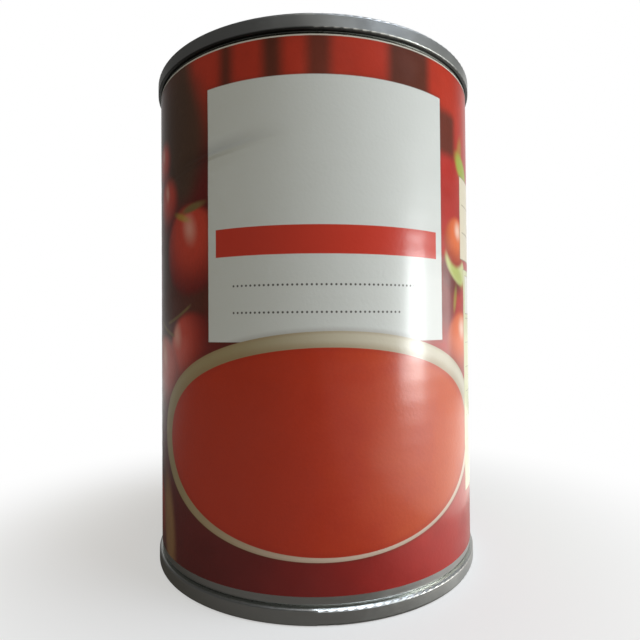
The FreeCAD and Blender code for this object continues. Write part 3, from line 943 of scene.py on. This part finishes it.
        # Painted shade: the print is darkened along the upper side of the crease.
        graph.feed(shader.inputs["Base Color"], graph.scaled(colour, 1 - wear_and_crease_shade * 0.2))
        graph.feed(shader.inputs["Roughness"], smudge * 0.08 + speckle * 0.04 + 0.3)
        shader.inputs["Specular IOR Level"].default_value = 0.4
        shader.inputs["Coat Weight"].default_value = 0.5
        shader.inputs["Coat Roughness"].default_value = 0.17
        fibre = graph.noise(place, 2600.0, detail=3.0)
        waviness = graph.noise(place, 140.0, detail=2.0)
        peel = graph.noise(place, 1500.0, detail=1.0)
        relief = fibre * 0.004 + peel * 0.022 + waviness * 0.03 - pressed * 0.7
        graph.feed(shader.inputs["Normal"], graph.bump(relief, MM))
        return material


# --- Pieces ---


class Bench:
    """Picks parts of the mesh that is worked on, and is cleared for the next one."""

    def __init__(self, piece: bpy.types.Object) -> None:
        """Takes the piece that is worked on.

        Args:
            piece: The active mesh object, in edit mode.
        """
        self.piece = piece

    def pick(self, kind: str, chosen: Callable[[MeshPart], bool]) -> None:
        """Selects the vertices or edges that a test picks, and nothing else.

        Args:
            kind: VERT or EDGE.
            chosen: The test.
        """
        bpy.ops.mesh.select_mode(type=kind)
        bpy.ops.mesh.select_all(action="DESELECT")
        mesh = bmesh.from_edit_mesh(self.piece.data)
        for part in mesh.verts if kind == "VERT" else mesh.edges:
            if chosen(part):
                part.select_set(True)
        mesh.select_flush_mode()
        bmesh.update_edit_mesh(self.piece.data)

    @staticmethod
    def clear() -> None:
        """Leaves edit mode and deselects every object."""
        if bpy.context.object and bpy.context.object.mode != "OBJECT":
            bpy.ops.object.mode_set(mode="OBJECT")
        bpy.ops.object.select_all(action="DESELECT")


@dataclass
class LabelSleeve:
    """The paper label: one wrap round the body, beaded by the wall beneath it, with a glued overlap behind.

    Each dent has its place round the tin and up it, its depth and its reach, in millimetres. A face whose
    normal points away from the tin by less than outward is bare paper.
    """

    body_radius: float = 36.5 * MM
    paper: float = 0.12 * MM
    low: float = 4.9 * MM
    high: float = 104.4 * MM
    rows: int = 148
    columns: int = 360
    overlap: int = 14
    bead_count: int = 16
    bead_pitch: float = 4.0 * MM
    bead_middle: float = 54.0 * MM
    bead_dip: float = 0.016 * MM
    end_reach: float = 0.1 * MM
    dents: Sequence[Sequence[float]] = ((-20.5, 88.0, 0.06, 9.0), (-30.0, 40.0, 0.03, 12.0))
    dent_tip: float = 0.9 * MM
    outward: float = 0.6
    smooth_angle: float = 40.0

    @property
    def radius(self) -> float:
        """The radius of the label's printed side."""
        return self.body_radius + self.paper

    def radius_at(self, height: float) -> float:
        """The printed side's radius at a height, where the paper is drawn into the beads.

        Args:
            height: The height above the floor.

        Returns:
            The radius.
        """
        reach = self.bead_count * self.bead_pitch / 2
        off = height - self.bead_middle
        if abs(off) > reach:
            return self.radius
        wave = 0.5 - 0.5 * math.cos(2 * math.pi * (off + reach) / self.bead_pitch)
        return self.radius - self.bead_dip * wave

    def profile(self) -> bpy.types.Object:
        """Draws the label's upright line at +Y, from its lower edge to its upper one.

        Returns:
            The object, in edit mode.
        """
        Bench.clear()
        bpy.ops.mesh.primitive_plane_add(size=MM, location=(0, 0, 0))
        sleeve = bpy.context.object
        sleeve.name = sleeve.data.name = "printed_label"
        bpy.ops.object.mode_set(mode="EDIT")
        bpy.ops.mesh.select_all(action="SELECT")
        bpy.ops.mesh.merge(type="CENTER")
        here = (self.radius_at(self.low), self.low)
        bpy.ops.transform.translate(value=(0, *here))
        for row in range(1, self.rows + 1):
            height = self.low + (self.high - self.low) * row / self.rows
            step = (self.radius_at(height) - here[0], height - here[1])
            bpy.ops.mesh.extrude_region_move(TRANSFORM_OT_translate={"value": (0, *step)})
            here = (self.radius_at(height), height)
        return sleeve

    def wrap(self, sleeve: bpy.types.Object) -> None:
        """Wraps the line once round the tin and lifts the last stretch over the first as the overlap.

        Args:
            sleeve: The label, in edit mode.
        """
        bench = Bench(sleeve)
        bpy.ops.mesh.select_all(action="SELECT")
        bpy.ops.mesh.spin(
            steps=self.columns, angle=-math.tau, use_auto_merge=False, center=(0, 0, 0), axis=(0, 0, 1)
        )
        column = self.rows + 1
        factor = 1 + self.paper / self.radius / 2
        for start in (self.overlap, self.overlap - 1):
            first = column * (self.columns - start)
            bench.pick("VERT", lambda vertex: vertex.index >= first)
            bpy.ops.transform.resize(value=(factor, factor, 1), center_override=(0, 0, 0))

    def close(self, sleeve: bpy.types.Object) -> None:
        """Closes the cut edges: the end of the overlap, the two rims and the glued back.

        Args:
            sleeve: The label, in edit mode.
        """
        bench = Bench(sleeve)
        bench.pick(
            "EDGE",
            lambda edge: edge.is_boundary
            and abs(edge.verts[0].co.z - edge.verts[1].co.z) > SAME
            and max(abs(vertex.co.x) for vertex in edge.verts) < self.end_reach,
        )
        bpy.ops.mesh.bridge_edge_loops()
        for height in (self.low, self.high):
            bench.pick(
                "EDGE",
                lambda edge: edge.is_boundary and all(abs(v.co.z - height) < SAME for v in edge.verts),
            )
            bpy.ops.mesh.extrude_region_move(TRANSFORM_OT_translate={"value": (0, 0, 0)})
            factor = self.body_radius / self.radius_at(height)
            bpy.ops.transform.resize(value=(factor, factor, 1), center_override=(0, 0, 0))
        bench.pick("EDGE", lambda edge: edge.is_boundary)
        bpy.ops.mesh.bridge_edge_loops()
        bpy.ops.mesh.select_mode(type="FACE")
        bpy.ops.mesh.select_all(action="SELECT")
        bpy.ops.mesh.normals_make_consistent(inside=False)

    def handle(self, sleeve: bpy.types.Object) -> None:
        """Presses in the two shallow dents that the label has from handling.

        Args:
            sleeve: The label, in edit mode.
        """
        bench = Bench(sleeve)
        for arc, height, depth, reach in self.dents:
            turn = arc * MM / self.radius
            out = Vector((math.sin(turn), -math.cos(turn), 0))
            middle = out * self.radius + Vector((0, 0, height * MM))
            bench.pick("VERT", lambda vertex: (vertex.co - middle).length < self.dent_tip)
            bpy.ops.transform.translate(
                value=-out * depth * MM,
                use_proportional_edit=True,
                proportional_edit_falloff="SMOOTH",
                proportional_size=reach * MM,
                use_proportional_connected=True,
            )

    def paint_cut_edges(self, sleeve: bpy.types.Object) -> None:
        """Gives the bare paper to the rims, the overlap's end and the back.

        Args:
            sleeve: The label, in edit mode.
        """
        bpy.ops.mesh.select_mode(type="FACE")
        bpy.ops.mesh.select_all(action="DESELECT")
        mesh = bmesh.from_edit_mesh(sleeve.data)
        for face in mesh.faces:
            middle = face.calc_center_median()
            out = Vector((middle.x, middle.y, 0)).normalized()
            face.select_set(face.normal.dot(out) < self.outward)
        bmesh.update_edit_mesh(sleeve.data)
        bpy.context.object.active_material_index = 1
        bpy.ops.object.material_slot_assign()

    def build(self, effects: Effects) -> None:
        """Makes the label with its two materials.

        Args:
            effects: The shared effects.
        """
        sleeve = self.profile()
        self.wrap(sleeve)
        self.close(sleeve)
        self.handle(sleeve)
        sleeve.data.materials.append(LabelPrint().material(effects))
        sleeve.data.materials.append(PaperCore().material())
        self.paint_cut_edges(sleeve)
        bpy.ops.object.mode_set(mode="OBJECT")
        bpy.ops.object.shade_smooth_by_angle(angle=math.radians(self.smooth_angle))
        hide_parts("label")
        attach(sleeve, "root")
        LOG.info("%s: %d faces", sleeve.name, len(sleeve.data.polygons))


@dataclass
class TinMetal:
    """The metal of the tin: its wall, its two seamed ends and the pull."""

    wall: Tinplate = Tinplate(
        name="body_sheet",
        colour=(0.62, 0.62, 0.58),
        worn=(0.74, 0.73, 0.70),
        dull=0.22,
        streak_lay=Lay.ROUND,
        streak_depth=0.01 * MM,
        rub_radius=36.5 * MM,
        rub_reach=0.3 * MM,
    )
    end: Tinplate = Tinplate(
        name="end_sheet",
        colour=(0.575, 0.60, 0.565),
        worn=(0.74, 0.73, 0.70),
        dull=0.27,
        streak_lay=Lay.ACROSS,
        streak_depth=0.005 * MM,
        rub_radius=37.2 * MM,
        rub_reach=0.9 * MM,
    )
    pull: Tinplate = Tinplate(
        name="pull_sheet",
        colour=(0.66, 0.66, 0.635),
        worn=(0.78, 0.77, 0.74),
        dull=0.22,
        streak_lay=Lay.UPRIGHT,
        streak_depth=0.006 * MM,
        rub_radius=16.0 * MM,
        rub_reach=1.5 * MM,
    )

    def dress(self, nodes: dict[str, bpy.types.Object], effects: Effects) -> None:
        """Gives each CAD node of metal its finish.

        Args:
            nodes: The CAD nodes by name.
            effects: The shared effects.
        """
        finishes = {
            "can_body": self.wall.material(effects),
            "lid_end": self.end.material(effects),
            "ring_pull": self.pull.material(effects),
        }
        finishes["base_end"] = finishes["lid_end"]
        for name, finish in finishes.items():
            for slot in nodes[name].material_slots:
                slot.material = finish
            LOG.info("%s: %s", name, finish.name)


# --- Studio ---


@dataclass(frozen=True)
class SoftLamp:
    """A rectangular lamp, aimed at a height over the tin's middle.

    Its bearing is in degrees from -Y towards +X. One that doesn't light the tin shows only as a reflection.
    """

    name: str
    bearing: float
    distance: float
    height: float
    width: float
    tall: float
    watts: float
    tone: Colour
    aim: float = 0.054
    lights: bool = True

    def place(self) -> None:
        """Adds the lamp to the scene."""
        turn = math.radians(self.bearing)
        across, forward = math.sin(turn) * self.distance, math.cos(turn) * self.distance
        spot = Vector((across, -forward, self.height))
        light = bpy.data.lights.new(self.name, "AREA")
        light.shape = "RECTANGLE"
        light.size, light.size_y = self.width, self.tall
        light.energy = self.watts
        light.color = self.tone
        lamp = bpy.data.objects.new(self.name, light)
        bpy.context.scene.collection.objects.link(lamp)
        lamp.location = spot
        lamp.visible_camera = False
        lamp.visible_diffuse = self.lights
        lamp.rotation_euler = (Vector((0, 0, self.aim)) - spot).to_track_quat("-Z", "Y").to_euler()


@dataclass
class Studio:
    """The pale floor, the lamps, the white surroundings and the camera."""

    floor_size: float = 4.0
    floor_colour: Colour = (0.80, 0.80, 0.80)
    floor_mirrored: Colour = (0.12, 0.11, 0.10)
    fade_start: float = 0.04
    fade_end: float = 0.12
    shadow_depth: float = 0.5
    ambient: Colour = (0.245, 0.225, 0.16)
    room: float = 0.05
    room_depth: float = 0.3
    lamps: tuple[SoftLamp, ...] = (
        SoftLamp("strip", 71.0, 0.50, 0.080, 0.130, 0.14, 0.72, (0.94, 1.0, 1.0)),
        SoftLamp("window", 88.0, 0.55, 0.070, 0.40, 0.135, 0.5, (1.0, 0.98, 0.94)),
        SoftLamp("low_strip", 64.4, 0.229, 0.029, 0.076, 0.024, 0.048, (0.94, 1.0, 1.0), lights=False),
        SoftLamp("low_strip_foot", 64.4, 0.229, 0.012, 0.076, 0.010, 0.007, (0.94, 1.0, 1.0), lights=False),
        SoftLamp("bounce_card", 96.0, 0.145, 0.001, 0.28, 0.17, 0.15, (1.0, 0.96, 0.88), aim=30.0),
        SoftLamp("side_softbox", 72.0, 0.60, 1.10, 0.5, 0.5, 6.2, (0.92, 1.03, 1.2)),
        SoftLamp("front_fill", 15.0, 1.1, 1.70, 0.9, 0.9, 2.3, (1.0, 0.985, 0.93)),
    )
    eye: Vector = field(default_factory=lambda: Vector((0.0, -0.12339, 0.05219)))
    tilt: tuple[float, float, float] = (90.815, 0.437, -0.317)
    lens: float = 27.67
    shift: float = 0.0035

    def floor(self) -> None:
        """Adds the floor, which fades to white away from the tin."""
        Bench.clear()
        bpy.ops.mesh.primitive_circle_add(vertices=96, radius=self.floor_size, fill_type="NGON")
        floor = bpy.context.object
        floor.name = floor.data.name = "floor"
        material, graph, shader = new_material("floor_card")
        x, y, _ = graph.parts(graph.object_place())
        behind, aside = y / self.room_depth, x / self.room_depth
        shader.inputs["Roughness"].default_value = 0.9
        shader.inputs["Specular IOR Level"].default_value = 0.1
        mirrored = Field(graph, graph.node("ShaderNodeLightPath").outputs["Is Glossy Ray"])
        dimmed = mirrored * behind.ramp(0.8, 0.0) * (x.ramp(0.045, 0.018) * 0.7 + 0.3)
        graph.feed(shader.inputs["Base Color"], graph.blend(self.floor_colour, self.floor_mirrored, dimmed))
        glow = graph.node("ShaderNodeEmission")
        seen = self.whiteness(graph, behind, aside)
        mix = graph.node("ShaderNodeMixShader")
        away = (x.squared() + y.squared()).root().ramp(self.fade_start, self.fade_end)
        graph.feed(mix.inputs[0], (away * self.shadow_depth + (1 - self.shadow_depth)) * seen)
        graph.tree.links.new(shader.outputs[0], mix.inputs[1])
        graph.tree.links.new(glow.outputs[0], mix.inputs[2])
        out = next(n for n in graph.tree.nodes if n.type == "OUTPUT_MATERIAL")
        graph.tree.links.new(mix.outputs[0], out.inputs[0])
        floor.data.materials.append(material)

    def whiteness(self, graph: Graph, behind: Field, aside: Field) -> Field:
        """How white the surroundings are: white where seen, and in a reflection white only behind the tin.

        Args:
            graph: The graph of the world or of the floor.
            behind: How far behind the tin the ray ends: above 0 on the +Y side.
            aside: How far to the +X side it ends, since the other side is dimmer.

        Returns:
            The strength, from 0 to 1.
        """
        path = graph.node("ShaderNodeLightPath")
        kinds = ("Is Camera Ray", "Is Glossy Ray", "Is Transmission Ray")
        camera, glossy, clear = (Field(graph, path.outputs[kind]) for kind in kinds)
        white = behind.ramp(0.4, 1.15) * (aside.ramp(-0.8, 0.0) * 0.75 + 0.25)
        return camera.most(clear).most(glossy * (white * (1 - self.room) + self.room))

    def surroundings(self) -> None:
        """Makes the world white where it is seen, and dim where it lights the tin."""
        world = bpy.data.worlds.new("studio")
        bpy.context.scene.world = world
        world.use_nodes = True
        graph = Graph(world.node_tree)
        background = next(n for n in world.node_tree.nodes if n.type == "BACKGROUND")
        aside, behind, _ = graph.parts(Field(graph, graph.node("ShaderNodeTexCoord").outputs["Generated"]))
        lit = Field(graph, graph.node("ShaderNodeLightPath").outputs["Is Diffuse Ray"])
        white = self.whiteness(graph, behind, aside)
        graph.feed(background.inputs["Color"], graph.blend((1.0, 1.0, 1.0), self.ambient, lit))
        graph.feed(background.inputs["Strength"], white.most(lit))

    def camera(self) -> None:
        """Sets up the camera close in front of the tin."""
        data = bpy.data.cameras.new("camera")
        data.sensor_width = 36.0
        data.lens = self.lens
        data.shift_x = self.shift
        data.clip_start = 0.005
        camera = bpy.data.objects.new("camera", data)
        bpy.context.scene.collection.objects.link(camera)
        camera.location = self.eye
        camera.rotation_euler = [math.radians(angle) for angle in self.tilt]
        bpy.context.scene.camera = camera

    def build(self) -> None:
        """Sets up everything round the tin."""
        self.floor()
        for lamp in self.lamps:
            lamp.place()
        self.surroundings()
        self.camera()
        bpy.context.scene.view_settings.view_transform = "Standard"
        LOG.info("studio: %d lamps", len(self.lamps))


def main() -> None:
    """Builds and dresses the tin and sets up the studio."""
    logging.basicConfig(level=logging.INFO, format="%(name)s: %(message)s")
    for spare in [o for o in bpy.context.scene.objects if not o.name.startswith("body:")]:
        if spare.name not in frame["nodes"]:
            bpy.data.objects.remove(spare)
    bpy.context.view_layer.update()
    effects = Effects.build()
    TinMetal().dress(frame["nodes"], effects)
    LabelSleeve().build(effects)
    Studio().build()


if __name__ == "__main__":
    main()
